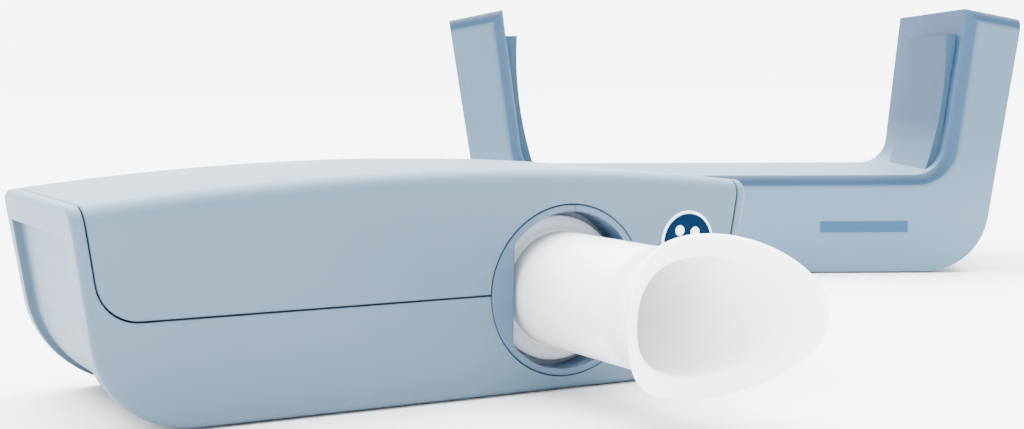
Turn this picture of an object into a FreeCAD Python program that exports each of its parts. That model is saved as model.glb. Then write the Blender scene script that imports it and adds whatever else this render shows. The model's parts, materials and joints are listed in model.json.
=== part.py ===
import FreeCAD, Part
import math
import os
import re
import Sketcher

# An ultrasonic spirometer: a handset with a mouthpiece tube, and the U-shaped cradle it is put away in.
# Millimetres. Origin on the underside of the handset's rubber pad, at the middle of the handset.
# +Z is up, and the mouthpiece points along -Y.

Vector = FreeCAD.Vector
Rotation = FreeCAD.Rotation

doc = FreeCAD.newDocument("spirometer")
sizes = doc.addObject("Spreadsheet::Sheet", "Sizes")

# The driving dimensions: name, millimetres (slopes are ratios, angles are degrees), what it is.
DRIVING_SIZES = [
    ("case_width", 183.5, "handset, across its top corners"),
    ("end_height", 52.2, "handset, height of its ends above its underside"),
    ("arch_rise", 5.4, "how far the middle of the top stands above its ends"),
    ("side_slope", 0.1517, "lean of the two ends, sideways per unit of height"),
    ("case_depth", 68.5, "handset, front to back along its underside"),
    ("draft_slope", 0.0458, "lean of the front and back, per unit of height"),
    ("foot_proud", 0.6, "how far the rubber pads stand out of the undersides"),
    ("corner_round", 24.0, "lower end corners, seen from the front"),
    ("heel_round", 29.0, "the same corners at the back, behind the grip recess"),
    ("recess_round", 28.5, "the same corners inside the grip recess"),
    ("edge_round", 4.5, "front and back edges of the top"),
    ("rim_round", 1.4, "all other outer edges of the case"),
    ("wall", 2.4, "case wall"),
    ("cheek_wall", 5.0, "case wall at the two ends"),
    ("seam_height", 25.6, "seam between cover and shell above the underside"),
    ("cheek_width", 2.9, "end strip of the shell beside the cover"),
    ("apron_round", 10.6, "lower corners of the cover"),
    ("seam_gap", 0.45, "open seam round the cover"),
    ("fit_gap", 0.15, "clearance between parts that lie on each other"),
    ("tongue_thick", 1.3, "tongue behind the seam"),
    ("tongue_rise", 3.0, "how far the tongue passes the seam"),
    ("recess_depth", 2.2, "grip recess in each end"),
    ("recess_top", 44.8, "top of the grip recess above the underside"),
    ("recess_front", 7.0, "case left in front of the recess"),
    ("recess_back", 4.0, "case left behind the recess"),
    ("tube_inset", 56.25, "tube axis, in from the case's half width"),
    ("tube_height", 25.7, "tube axis above the underside"),
    ("tube_radius", 15.0, "outside of the breathing tube"),
    ("tube_wall", 1.6, "wall of the breathing tube"),
    ("tube_play", 0.3, "clearance between tube and barrel"),
    ("tube_straight", 74.5, "middle of the case to where the tube starts to flare"),
    ("mouth_reach", 94.8, "middle of the case to the upper edge of the mouth"),
    ("mouth_half_width", 27.4, "half the width of the mouth's rim"),
    ("mouth_half_height", 19.2, "half the height of the mouth's rim"),
    ("mouth_rise", 0.9, "how far the mouth stands above the tube axis"),
    ("mouth_lip", 5.6, "width of the rim round the opening"),
    ("mouth_saddle", 37.3, "radius of the curve cut across the mouth"),
    ("collar_radius", 19.0, "round collar on the tube"),
    ("collar_flat", 15.3, "middle of the collar to its two flats"),
    ("collar_thick", 2.5, "collar along the tube"),
    ("collar_fillet", 2.2, "where the tube grows out of the collar"),
    ("ring_radius", 22.2, "outside of the bezel rings"),
    ("ring_opening", 20.5, "round opening of the front ring"),
    ("ring_flat", 16.0, "middle of the front ring to its two flats"),
    ("ring_lip", 0.8, "how far a ring's lip reaches behind the wall"),
    ("ring_lip_thick", 1.4, "lip along the tube"),
    ("ring_lip_gap", 0.45, "clearance between a lip and the wall in front of it"),
    ("ring_play", 0.3, "clearance round a ring"),
    ("ring_end", 26.5, "middle of the case to the inner end of a ring"),
    ("key_width", 3.3, "index mark on top of the front ring"),
    ("key_depth", 0.25, "depth of the index mark"),
    ("rear_opening", 17.5, "opening of the rear ring"),
    ("barrel_wall", 3.2, "wall of the measuring barrel"),
    ("barrel_flange", 2.2, "end flanges of the barrel, along the tube"),
    ("flange_radius", 21.0, "end flanges of the barrel"),
    ("seal_thick", 2.4, "tube seal, along the tube"),
    ("seal_depth", 1.6, "groove for the tube seal"),
    ("seal_play", 0.08, "clearance between tube and seal"),
    ("seal_place", 20.0, "middle of the case to the tube seals"),
    ("port_angle", 30.0, "slant of the sound path against straight across"),
    ("port_radius", 9.5, "outside of a transducer port"),
    ("port_reach", 32.0, "tube axis to the end of a port"),
    ("port_bore", 6.4, "sound way through a port"),
    ("seat_radius", 8.2, "seat for the transducer in its port"),
    ("seat_depth", 7.2, "depth of that seat"),
    ("nose_radius", 6.1, "front of a transducer"),
    ("nose_length", 3.2, "front of a transducer, past its seal"),
    ("gasket_thick", 1.2, "seal ring under a transducer"),
    ("cap_radius", 10.3, "outside of a transducer cap"),
    ("cap_grip", 4.0, "how far a cap reaches over its port"),
    ("cap_plate", 2.3, "end plate of a cap"),
    ("cap_hole", 2.6, "lead hole in a cap"),
    ("lead_radius", 0.9, "transducer lead"),
    ("window_radius", 6.0, "sound window in the tube"),
    ("mesh_thick", 0.5, "mesh in a sound window"),
    ("board_to_tube", 23.5, "circuit board's right edge to the tube axis"),
    ("board_width", 50.0, "circuit board along Y"),
    ("board_thick", 1.6, "circuit board"),
    ("board_to_end", 27.75, "circuit board's left edge, in from the case's half width"),
    ("board_height", 7.4, "underside of the board above the underside of the case"),
    ("board_inset", 4.0, "board edge to its screws"),
    ("socket_width", 12.0, "data socket"),
    ("socket_height", 11.0, "data socket"),
    ("socket_length", 17.0, "data socket"),
    ("socket_wall", 1.0, "shell of the data socket"),
    ("socket_inset", 24.0, "middle of the data socket from the board's left edge"),
    ("post_inset", 23.15, "case screws, in from the case's half width"),
    ("post_edge", 7.25, "case screws, in from the case's half depth"),
    ("post_radius", 4.4, "screw posts"),
    ("post_split", 23.2, "where lower and upper posts meet, above the underside"),
    ("screw_radius", 1.5, "case screw shank"),
    ("screw_head", 2.9, "case screw head radius"),
    ("screw_head_thick", 2.2, "case screw head"),
    ("screw_sink", 9.0, "depth of the wells for the case screws"),
    ("screw_length", 28.0, "case screw under its head"),
    ("small_screw", 1.25, "board screw shank radius"),
    ("small_head", 2.6, "board screw head radius"),
    ("small_head_thick", 1.8, "board screw head"),
    ("pad_inset", 36.75, "end of the handset pad, in from the case's half width"),
    ("pad_width", 40.0, "handset pad along Y"),
    ("pad_thick", 1.4, "rubber pads"),
    ("pad_round", 5.0, "corners of the handset pad"),
    ("label_inset", 19.85, "round sign on the front, in from the case's half width"),
    ("label_height", 36.7, "round sign above the underside"),
    ("label_radius", 8.2, "round sign"),
    ("label_rim", 0.8, "pale rim of the sign"),
    ("label_thick", 0.25, "each layer of the sign"),
    ("cradle_x", 220.6, "cradle's front lower middle, to the right of the handset's middle"),
    ("cradle_y", 144.6, "cradle's front lower middle, behind the handset's middle"),
    ("cradle_turn", -27.7, "how far the cradle is turned"),
    ("cradle_width", 233.8, "cradle across the tops of its arms"),
    ("cradle_height", 103.5, "outer top edge of the arms above the underside"),
    ("cradle_outer_slope", 0.1502, "lean of the arms' outer sides"),
    ("cradle_inner_slope", 0.1302, "lean of the arms' inner sides"),
    ("arm_width", 22.4, "arm at its top"),
    ("arm_top_rise", 4.4, "how much higher the inner top edge is"),
    ("bar_height", 39.7, "crossbar above the underside"),
    ("cradle_depth", 99.0, "cradle, front to back along its underside"),
    ("cradle_back_slope", 0.105, "lean of the cradle's back"),
    ("cradle_corner", 26.0, "lower outer corners of the cradle"),
    ("cradle_inner_corner", 12.5, "corners between bar and arms"),
    ("cradle_edge", 5.9, "rounded front edges of arms and bar"),
    ("cradle_wall", 2.6, "cradle wall"),
    ("guide_depth", 4.5, "guide ribs on the arms, at their top"),
    ("guide_curve", 150.0, "radius of the guide ribs' inner side"),
    ("guide_bend", 88.9, "height where that side stands upright"),
    ("guide_front", 12.0, "front end of the guide ribs"),
    ("guide_length", 60.0, "guide ribs along the arm's depth"),
    ("guide_top", 97.5, "top of the guide ribs above the underside"),
    ("cradle_post", 4.0, "screw posts in the cradle"),
    ("cradle_post_inset", 54.9, "screw posts in the bar, in from the cradle's half width"),
    ("cradle_post_height", 20.0, "screw posts in the bar above the underside"),
    ("arm_post_inset", 19.4, "screw posts in the arms, in from the cradle's half width"),
    ("arm_post_height", 78.0, "screw posts in the arms above the underside"),
    ("cradle_pad_length", 130.0, "cradle pads along the bar"),
    ("cradle_pad_width", 14.0, "cradle pads across the bar"),
    ("cradle_pad_inset", 12.0, "cradle pads from the front and the back"),
    ("badge_length", 36.0, "plain badge on the bar"),
    ("badge_width", 4.4, "plain badge on the bar"),
    ("badge_inset", 63.4, "badge, in from the cradle's half width"),
    ("badge_height", 18.6, "badge above the underside"),
    ("badge_thick", 0.3, "plain badge"),
]

# Places that follow from the driving dimensions, measured from the middle.
FOLLOWING_SIZES = [
    ("tube_x", "=case_width / 2 - tube_inset", "tube axis, to the right"),
    ("post_x", "=case_width / 2 - post_inset", "case screws, sideways"),
    ("post_y", "=case_depth / 2 - post_edge", "case screws, front and back"),
    ("board_length", "=case_width - board_to_end - tube_inset - board_to_tube", "circuit board along X"),
    ("board_x", "=board_length / 2 + board_to_end - case_width / 2", "middle of the circuit board"),
    ("socket_x", "=board_x - board_length / 2 + socket_inset", "middle of the data socket"),
    ("pad_length", "=case_width - 2 * pad_inset", "handset pad along X"),
    ("label_x", "=case_width / 2 - label_inset", "round sign"),
    ("cradle_post_x", "=cradle_width / 2 - cradle_post_inset", "screw posts in the bar"),
    ("arm_post_x", "=cradle_width / 2 - arm_post_inset", "screw posts in the arms"),
    ("badge_x", "=cradle_width / 2 - badge_inset", "badge"),
]

for row, (alias, value, note) in enumerate(DRIVING_SIZES + FOLLOWING_SIZES, start=1):
    sizes.set(f"A{row}", alias)
    sizes.set(f"B{row}", str(value))
    sizes.setAlias(f"B{row}", alias)
    sizes.set(f"C{row}", note)
doc.recompute()

ALIASES = {alias for alias, value, note in DRIVING_SIZES + FOLLOWING_SIZES}
BOARD_LEFT = "(board_x - board_length / 2)"
BOARD_RIGHT = "(board_x + board_length / 2)"
ROLE_OF = {"front": "XZ_Plane", "side": "YZ_Plane", "top": "XY_Plane"}
TURNS = {
    "x": Rotation(Vector(0, 1, 0), 90),
    "y": Rotation(Vector(1, 0, 0), -90),
    "z": Rotation(),
}


def linked(text):
    """The same expression with every driving dimension named in its sheet."""
    def named(word):
        return "Sizes." + word.group(0) if word.group(0) in ALIASES else word.group(0)

    return re.sub(r"[a-z_]+", named, text)


def value_of(text):
    """The number that an expression of driving dimensions stands for now."""
    return float(sizes.evalExpression(text))


def bind(item, prop, text):
    item.setExpression(prop, linked(text))


def place(item, corner):
    for axis, text in zip("xyz", corner):
        bind(item, "Placement.Base." + axis, text)
    return item


def box(name, size, corner):
    """A box of three lengths, from its lowest corner."""
    item = doc.addObject("Part::Box", name)
    for prop, text in zip(("Length", "Width", "Height"), size):
        bind(item, prop, text)
    return place(item, corner)


def centred_box(name, size, middle):
    """A box of three lengths, centred along X and Y on a point of its underside."""
    corner = (f"{middle[0]} - ({size[0]}) / 2", f"{middle[1]} - ({size[1]}) / 2", middle[2])
    return box(name, size, corner)


def rod(name, radius, length, start, along="z"):
    """A round bar from a point, along X, Y or Z."""
    item = doc.addObject("Part::Cylinder", name)
    bind(item, "Radius", radius)
    bind(item, "Height", length)
    item.Placement.Rotation = TURNS[along]
    return place(item, start)


def fuse(name, *pieces):
    item = doc.addObject("Part::MultiFuse", name)
    item.Shapes = list(pieces)
    return item


def common(name, *pieces):
    item = doc.addObject("Part::MultiCommon", name)
    item.Shapes = list(pieces)
    return item


def group(name, *pieces):
    """Separate solids that share one node."""
    item = doc.addObject("Part::Compound", name)
    item.Links = list(pieces)
    return item


def cut(name, base, *tools):
    item = doc.addObject("Part::Cut", name)
    item.Base = base
    item.Tool = tools[0] if len(tools) == 1 else fuse(name + "_tools", *tools)
    return item


def new_body(name):
    return doc.addObject("PartDesign::Body", name)


def new_sketch(body, name, view):
    """A sketch on the front, side or top plane of a body."""
    sketch = body.newObject("Sketcher::SketchObject", name)
    plane = [item for item in body.Origin.OriginFeatures if item.Role == ROLE_OF[view]][0]
    sketch.AttachmentSupport = (plane, [""])
    sketch.MapMode = "FlatFace"
    return sketch


def pin_point(sketch, line, end, point):
    """Hold one end of a line at a place given by two expressions."""
    for axis, text in zip("XY", point):
        held = Sketcher.Constraint("Distance" + axis, -1, 1, line, end, value_of(text))
        bind(sketch, f"Constraints[{sketch.addConstraint(held)}]", text)


def outline(sketch, points, arch=None, arch_radius=None):
    """A closed outline through points. The side numbered arch is an arc that bulges upwards."""
    corners = [Vector(value_of(x), value_of(y), 0) for x, y in points]
    count = len(corners)
    ends = {}
    for side in range(count):
        start = corners[side]
        stop = corners[(side + 1) % count]
        ends[side] = (1, 2)
        if side == arch:
            radius = value_of(arch_radius)
            half = (start - stop).Length / 2
            crown = (start + stop) * 0.5 + Vector(0, radius - math.sqrt(radius ** 2 - half ** 2), 0)
            number = sketch.addGeometry(Part.Arc(start, crown, stop), False)
            if (sketch.Geometry[number].StartPoint - start).Length > 0.001:
                ends[side] = (2, 1)
        else:
            sketch.addGeometry(Part.LineSegment(start, stop), False)
    for side in range(count):
        after = (side + 1) % count
        sketch.addConstraint(Sketcher.Constraint("Coincident", side, ends[side][1], after, ends[after][0]))
    for side in range(count):
        pin_point(sketch, side, ends[side][0], points[side])
    if arch is not None:
        held = Sketcher.Constraint("Radius", arch, value_of(arch_radius))
        bind(sketch, f"Constraints[{sketch.addConstraint(held)}]", arch_radius)
    return sketch


def pad(body, name, sketch, length, both_ways=True):
    feature = body.newObject("PartDesign::Pad", name)
    feature.Profile = sketch
    bind(feature, "Length", length)
    feature.SideType = "Symmetric" if both_ways else "One side"
    doc.recompute()
    return feature


def pocket(body, name, sketch, length):
    """Cut both ways from the sketch, and make sure that something was cut."""
    before = body.Shape.Volume
    feature = body.newObject("PartDesign::Pocket", name)
    feature.Profile = sketch
    bind(feature, "Length", length)
    feature.SideType = "Symmetric"
    doc.recompute()
    if feature.Shape.Volume > before - 0.001:
        raise RuntimeError(name + " cuts nothing")
    return feature


def round_edges(body, name, base, radius, chosen):
    """Round the edges of a feature that the test chosen picks out."""
    names = [f"Edge{number}" for number, edge in enumerate(base.Shape.Edges, start=1) if chosen(edge)]
    feature = body.newObject("PartDesign::Fillet", name)
    feature.Base = (base, names)
    bind(feature, "Radius", radius)
    doc.recompute()
    return feature


def lies_along(edge, axis, slack=0.01):
    """Whether a straight edge runs along an axis."""
    if edge.Curve.TypeId != "Part::GeomLine":
        return False
    ends = [vertex.Point for vertex in edge.Vertexes]
    return abs((ends[1] - ends[0]).normalize().dot(axis)) > 1 - slack


Y_AXIS = Vector(0, 1, 0)

nodes = {}


def keep(name, item):
    """Hand in an object as the sub-part of that name."""
    item.Label = name
    nodes[name] = item
    return item


# Heights and places that several sub-parts share.
BASE = "foot_proud"
ARCH_RADIUS = "((case_width / 2)^2 + arch_rise^2) / (2 * arch_rise)"
TUBE_Z = "(foot_proud + tube_height)"
BARREL_RADIUS = "(tube_radius + tube_play + barrel_wall)"
BARREL_BORE = "(tube_radius + tube_play)"
BOARD_TOP = "(foot_proud + board_height + board_thick)"
FLOOR_TOP = "(foot_proud + wall)"
FAR = "(2 * case_width)"


def case_side(height, inset):
    """Half the case's width at a height above the underside, less an inset."""
    return f"(case_width / 2 - (end_height - ({height})) * side_slope - ({inset}))"


def case_form(name, side, flat, rounded, corner="corner_round"):
    """The case's outer form, set in by side at its ends and by flat at its other faces."""
    body = new_body(name)
    top_half = f"(case_width / 2 - ({side}))"
    top_z = (f"({BASE} + end_height + arch_rise - {ARCH_RADIUS}"
             f" + sqrt(({ARCH_RADIUS} - ({flat}))^2 - {top_half}^2))")
    bottom_half = case_side(flat, side)
    bottom_z = f"({BASE} + ({flat}))"
    points = [("-" + bottom_half, bottom_z), (bottom_half, bottom_z),
              (top_half, top_z), ("-" + top_half, top_z)]
    sketch = new_sketch(body, name + "_front", "front")
    outline(sketch, points, arch=2, arch_radius=f"{ARCH_RADIUS} - ({flat})")
    pad(body, name + "_pad", sketch, "2 * case_depth")
    for word, sign in (("fore", "-"), ("aft", "")):
        face = f"(case_depth / 2 - ({flat}))"
        reach = f"(case_depth / 2 + end_height)"
        high = "(2 * end_height)"
        points = [
            (f"{sign}({face} - {BASE} * draft_slope)", "0"),
            (f"{sign}({face} + ({high} - {BASE}) * draft_slope)", high),
            (f"{sign}{reach}", high),
            (f"{sign}{reach}", "0"),
        ]
        side_sketch = outline(new_sketch(body, f"{name}_{word}", "side"), points)
        last = pocket(body, f"{name}_{word}_draft", side_sketch, FAR)
    low = value_of(bottom_z)
    last = round_edges(body, name + "_corners", last, f"{corner} - ({flat})",
                       lambda edge: lies_along(edge, Y_AXIS) and abs(edge.CenterOfMass.z - low) < 0.01)
    if rounded:
        middle_top = value_of("foot_proud + end_height")
        last = round_edges(body, name + "_top_edges", last, "edge_round",
                           lambda edge: edge.CenterOfMass.z > middle_top and abs(edge.CenterOfMass.x) < 1)
        half_height = value_of("end_height / 2")
        side_x = value_of(case_side("end_height / 2", "0"))
        last = round_edges(body, name + "_rims", last, "rim_round",
                           lambda edge: abs(edge.CenterOfMass.y) > half_height
                           and abs(abs(edge.CenterOfMass.x) - side_x) < 4)
    return body


def cover_zone(name, gap):
    """The space between the end strips and above the seam that the cover fills, less a gap all round."""
    body = new_body(name)
    low = f"(seam_height + ({gap}))"
    high = "(end_height + 20)"
    low_half = case_side(low, f"cheek_width + ({gap})")
    high_half = case_side(high, f"cheek_width + ({gap})")
    points = [("-" + low_half, f"{BASE} + {low}"), (low_half, f"{BASE} + {low}"),
              (high_half, f"{BASE} + {high}"), ("-" + high_half, f"{BASE} + {high}")]
    block = pad(body, name + "_pad", outline(new_sketch(body, name + "_front", "front"), points), FAR)
    level = value_of(f"{BASE} + {low}")
    round_edges(body, name + "_corners", block, f"apron_round - ({gap})",
                lambda edge: lies_along(edge, Y_AXIS) and abs(edge.CenterOfMass.z - level) < 0.01)
    return body


outer = case_form("case_outer", "0", "0", True)
void = case_form("case_void", "cheek_wall", "wall", False, "recess_round")
skin_under = case_form("cover_underside", "0", "wall", False)
skin_seat = case_form("cover_seat", "0", "wall + fit_gap", False)
tongue_under = case_form("tongue_underside", "0", "wall + fit_gap + tongue_thick", False)
recess_core = case_form("recess_core", "recess_depth", "0", False, "recess_round")
heel_core = case_form("heel_core", "0", "0", False, "heel_round")
zone = cover_zone("cover_zone", "seam_gap")
zone_open = cover_zone("cover_opening", "0")


def along_tube(name, radius, start, length):
    return rod(name, radius, length, ("tube_x", start, TUBE_Z), "y")


def ring_bores(name):
    """Holes for the two bezel rings, through the front and back walls."""
    length = "case_depth - ring_end"
    return [along_tube(name + "_front_bore", "ring_radius + ring_play", "-case_depth", length),
            along_tube(name + "_rear_bore", "ring_radius + ring_play", "ring_end", length)]


def at_posts(make):
    """Run a function for each of the four case screws."""
    made = []
    for number, (x_sign, y_sign) in enumerate((("-", "-"), ("", "-"), ("-", ""), ("", "")), start=1):
        made.append(make(number, f"{x_sign}post_x", f"{y_sign}post_y"))
    return made


def at_board_screws(make):
    """Run a function for each of the four board screws."""
    made = []
    number = 0
    for x_sign in ("-", "+"):
        for y_sign in ("-", ""):
            number += 1
            x = f"(board_x {x_sign} (board_length / 2 - board_inset))"
            y = f"({y_sign}(board_width / 2 - board_inset))"
            made.append(make(number, x, y))
    return made


def make_bottom_shell():
    """Lower shell: floor, lower front and back, and the two end cheeks with their grip recesses."""
    shell = cut("shell_walls", outer, void)
    seat = cut("shell_cover_seat", common("shell_cover_zone", outer, zone_open), skin_seat)
    window = box("recess_window", (FAR, "case_depth - recess_front - recess_back", "recess_top"),
                 ("-case_width", "recess_front - case_depth / 2", BASE))
    recess = cut("grip_recess", common("grip_recess_blank", outer, window), recess_core)
    behind = box("heel_window", (FAR, "case_depth", "heel_round"),
                 ("-case_width", "case_depth / 2 - recess_back", BASE))
    heel = cut("heel", common("heel_blank", outer, behind), heel_core)
    opened = cut("shell_open", shell, seat)
    band = box("tongue_band", ("2 * (case_width / 2 - corner_round)", FAR, "2 * tongue_rise"),
               ("corner_round - case_width / 2", "-case_width", f"{BASE} + seam_height - tongue_rise"))
    foot = box("tongue_foot", ("2 * (case_width / 2 - corner_round)", FAR, "tongue_rise"),
               ("corner_round - case_width / 2", "-case_width", f"{BASE} + seam_height - tongue_rise"))
    tongue = cut("tongue", common("tongue_blank", skin_seat, band), tongue_under)
    tongue_root = cut("tongue_root", common("tongue_root_blank", outer, foot), tongue_under)
    posts = at_posts(lambda number, x, y: rod(
        f"lower_post_{number}", "post_radius", "post_split", (x, y, BASE)))
    posts_inside = common("lower_posts", outer, group("lower_post_rods", *posts))
    standoffs = at_board_screws(lambda number, x, y: rod(
        f"standoff_{number}", "small_head", "board_height - wall / 2", (x, y, f"{BASE} + wall / 2")))
    saddles = []
    for word, y in (("front", "-(seal_place - seal_thick)"), ("rear", "(seal_place - seal_thick)")):
        saddles.append(centred_box(
            f"{word}_saddle", ("1.4 * barrel_wall + tube_radius", "wall", "tube_height - wall / 2"),
            ("tube_x", y, f"{BASE} + wall / 2")))
    barrel_space = along_tube("shell_barrel_space", BARREL_RADIUS, "-ring_end", "2 * ring_end")
    whole_saddles = cut("saddles", group("saddle_blocks", *saddles), barrel_space)
    joined = fuse("shell_joined", opened, tongue, tongue_root, posts_inside, whole_saddles, *standoffs)
    wells = at_posts(lambda number, x, y: rod(
        f"screw_well_{number}", "screw_head + fit_gap", "screw_sink", (x, y, BASE)))
    holes = at_posts(lambda number, x, y: rod(
        f"screw_hole_{number}", "screw_radius + fit_gap", "post_split", (x, y, f"{BASE} + wall")))
    pilots = at_board_screws(lambda number, x, y: rod(
        f"board_pilot_{number}", "small_screw", "board_height", (x, y, FLOOR_TOP)))
    pad_seat = centred_box("pad_seat", ("pad_length", "pad_width", "pad_thick"), ("0", "0", "0"))
    socket_hole = box(
        "socket_hole", ("socket_width + 2 * fit_gap", "case_depth", "socket_height + 2 * fit_gap"),
        ("socket_x - socket_width / 2 - fit_gap", "case_depth / 4", f"{BOARD_TOP} - fit_gap"))
    tools = ring_bores("shell") + wells + holes + pilots + [pad_seat, socket_hole, recess, heel]
    keep("bottom_shell", cut("bottom_shell", joined, *tools))


def make_top_cover():
    """Cover: the arched top with a front and a back apron, between the end strips."""
    skin = cut("cover_skin", common("cover_blank", outer, zone), skin_under)
    posts = at_posts(lambda number, x, y: rod(
        f"upper_post_{number}", "post_radius", "end_height", (x, y, f"{BASE} + post_split + fit_gap")))
    room = common("cover_room", skin_under, zone)
    posts_inside = common("upper_posts", room, group("upper_post_rods", *posts))
    ribs = []
    for word, y in (("front", "-(seal_place - seal_thick)"), ("rear", "(seal_place - seal_thick)")):
        ribs.append(centred_box(f"{word}_rib", ("1.4 * barrel_wall + tube_radius", "wall", "end_height"),
                                ("tube_x", y, f"{TUBE_Z} + barrel_wall + tube_radius / 2")))
    ribs_inside = common("ribs", room, group("rib_blocks", *ribs))
    joined = fuse("cover_joined", skin, posts_inside, ribs_inside)
    holes = at_posts(lambda number, x, y: rod(
        f"post_thread_{number}", "screw_radius", "screw_length / 2", (x, y, f"{BASE} + post_split")))
    barrel_space = along_tube("cover_barrel_space", f"{BARREL_RADIUS} + fit_gap", "-ring_end", "2 * ring_end")
    keep("top_cover", cut("top_cover", joined, *(ring_bores("cover") + holes + [barrel_space])))


LIP_FACE = "(case_depth / 2 - wall - ring_lip_gap)"


def ring_blank(word, start):
    """A bezel ring's outside: flush with the case outside, with a lip behind the wall."""
    body = along_tube(word + "_ring_rod", "ring_radius", start, "case_depth - ring_end")
    flush = common(word + "_ring_flush", outer, body)
    return flush


def make_front_ring():
    """Front bezel ring: a round opening with two flats that key the tube's collar."""
    flush = ring_blank("front", "-case_depth")
    lip = along_tube("front_ring_lip", "ring_radius + ring_lip", f"-{LIP_FACE}", "ring_lip_thick")
    opening = common("front_ring_opening",
                     along_tube("front_ring_round", "ring_opening", "-2 * case_depth", "2 * case_depth"),
                     centred_box("front_ring_flats", ("2 * ring_flat", "4 * case_depth", "4 * ring_radius"),
                                 ("tube_x", "0", f"{TUBE_Z} - 2 * ring_radius")))
    mark = centred_box("front_ring_mark", ("key_width", "case_depth", "ring_radius"),
                       ("tube_x", f"-(case_depth + (tube_height + ring_radius) * draft_slope - key_depth)",
                        f"{TUBE_Z} + ring_opening - 1"))
    keep("front_bezel_ring", cut("front_bezel_ring", fuse("front_ring_whole", flush, lip), opening, mark))


def make_rear_ring():
    """Rear bezel ring, round, where the air leaves."""
    flush = ring_blank("rear", "ring_end")
    lip = along_tube("rear_ring_lip", "ring_radius + ring_lip", f"{LIP_FACE} - ring_lip_thick",
                     "ring_lip_thick")
    opening = along_tube("rear_ring_opening", "rear_opening", "0", "2 * case_depth")
    keep("rear_bezel_ring", cut("rear_bezel_ring", fuse("rear_ring_whole", flush, lip), opening))


SIDES = (("left", 180.0), ("right", 0.0))


def sound_rod(name, turn, radius, start, length):
    """A round bar on the sound path, from a distance along it."""
    item = doc.addObject("Part::Cylinder", name)
    bind(item, "Radius", radius)
    bind(item, "Height", length)
    heading = math.radians(value_of("port_angle") + turn)
    item.Placement.Rotation = Rotation(Vector(0, 0, 1), Vector(math.cos(heading), math.sin(heading), 0))
    sign = "-" if turn else "+"
    return place(item, (f"tube_x {sign} ({start}) * cos(port_angle)",
                        f"{sign} ({start}) * sin(port_angle)", TUBE_Z))


SEAT_START = "(port_reach - seat_depth)"


def make_barrel():
    """Measuring barrel: holds the tube, two seals and two transducers that face each other on a slant."""
    parts = [along_tube("barrel_rod", BARREL_RADIUS, "-ring_end", "2 * ring_end")]
    for word, start in (("front", "-ring_end"), ("rear", "ring_end - barrel_flange")):
        parts.append(along_tube(f"barrel_{word}_flange", "flange_radius", start, "barrel_flange"))
    for side, turn in SIDES:
        parts.append(sound_rod(f"{side}_port", turn, "port_radius", "tube_radius / 2",
                               "port_reach - tube_radius / 2"))
    holes = [along_tube("barrel_bore", BARREL_BORE, "-case_depth", "2 * case_depth")]
    for word, y in (("front", "-(seal_place + seal_thick / 2)"), ("rear", "seal_place - seal_thick / 2")):
        holes.append(along_tube(f"{word}_seal_groove", f"{BARREL_BORE} + seal_depth", y, "seal_thick"))
    for side, turn in SIDES:
        holes.append(sound_rod(f"{side}_port_bore", turn, "port_bore", "0", "port_reach"))
        holes.append(sound_rod(f"{side}_port_seat", turn, "seat_radius", SEAT_START, "port_reach"))
    keep("measuring_barrel", cut("measuring_barrel", fuse("barrel_solid", *parts), *holes))


def make_tube_seals():
    """Soft rings in the barrel's grooves, close round the tube."""
    for word, y in (("front", "-(seal_place + seal_thick / 2)"), ("rear", "seal_place - seal_thick / 2")):
        ring = along_tube(f"{word}_seal_ring", f"{BARREL_BORE} + seal_depth", y, "seal_thick")
        hole = along_tube(f"{word}_seal_hole", "tube_radius + seal_play", "-case_depth", "2 * case_depth")
        keep(f"{word}_tube_seal", cut(f"{word}_tube_seal", ring, hole))


def make_transducers():
    """On each side a transducer, its seal ring and the cap that holds it."""
    for side, turn in SIDES:
        nose = sound_rod(f"{side}_nose", turn, "nose_radius", f"{SEAT_START} - nose_length",
                         "nose_length + seat_depth")
        can = sound_rod(f"{side}_can", turn, "seat_radius - fit_gap", f"{SEAT_START} + gasket_thick",
                        "seat_depth - gasket_thick")
        keep(f"transducer_{side}", fuse(f"transducer_{side}", nose, can))
        ring = sound_rod(f"{side}_gasket_ring", turn, "seat_radius - fit_gap", SEAT_START, "gasket_thick")
        hole = sound_rod(f"{side}_gasket_hole", turn, "nose_radius", "0", "port_reach")
        keep(f"transducer_seal_{side}", cut(f"transducer_seal_{side}", ring, hole))
        cap = sound_rod(f"{side}_cap_rod", turn, "cap_radius", "port_reach - cap_grip",
                        "cap_grip + cap_plate")
        inside = sound_rod(f"{side}_cap_room", turn, "port_radius", "0", "port_reach")
        lead_hole = sound_rod(f"{side}_cap_hole", turn, "cap_hole", "0", "2 * port_reach")
        keep(f"transducer_cap_{side}", cut(f"transducer_cap_{side}", cap, inside, lead_hole))


def screw(name, radius, length, head_radius, head_thick, x, y, seat, head_up):
    """A screw whose head lies on the level seat, with a cross recess; the shank goes the other way."""
    shank_start = f"{seat} - ({length})" if head_up else seat
    head_start = seat if head_up else f"{seat} - ({head_thick})"
    shank = rod(name + "_shank", radius, length, (x, y, shank_start))
    head = rod(name + "_head", head_radius, head_thick, (x, y, head_start))
    whole = fuse(name + "_solid", shank, head)
    slot_start = f"{seat} + ({head_thick}) / 2" if head_up else f"{seat} - 1.5 * ({head_thick})"
    slots = []
    for word, size in (("a", (f"1.3 * ({head_radius})", f"0.3 * ({head_radius})")),
                       ("b", (f"0.3 * ({head_radius})", f"1.3 * ({head_radius})"))):
        slots.append(centred_box(f"{name}_slot_{word}", (size[0], size[1], head_thick), (x, y, slot_start)))
    return cut(name, whole, *slots)


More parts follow.
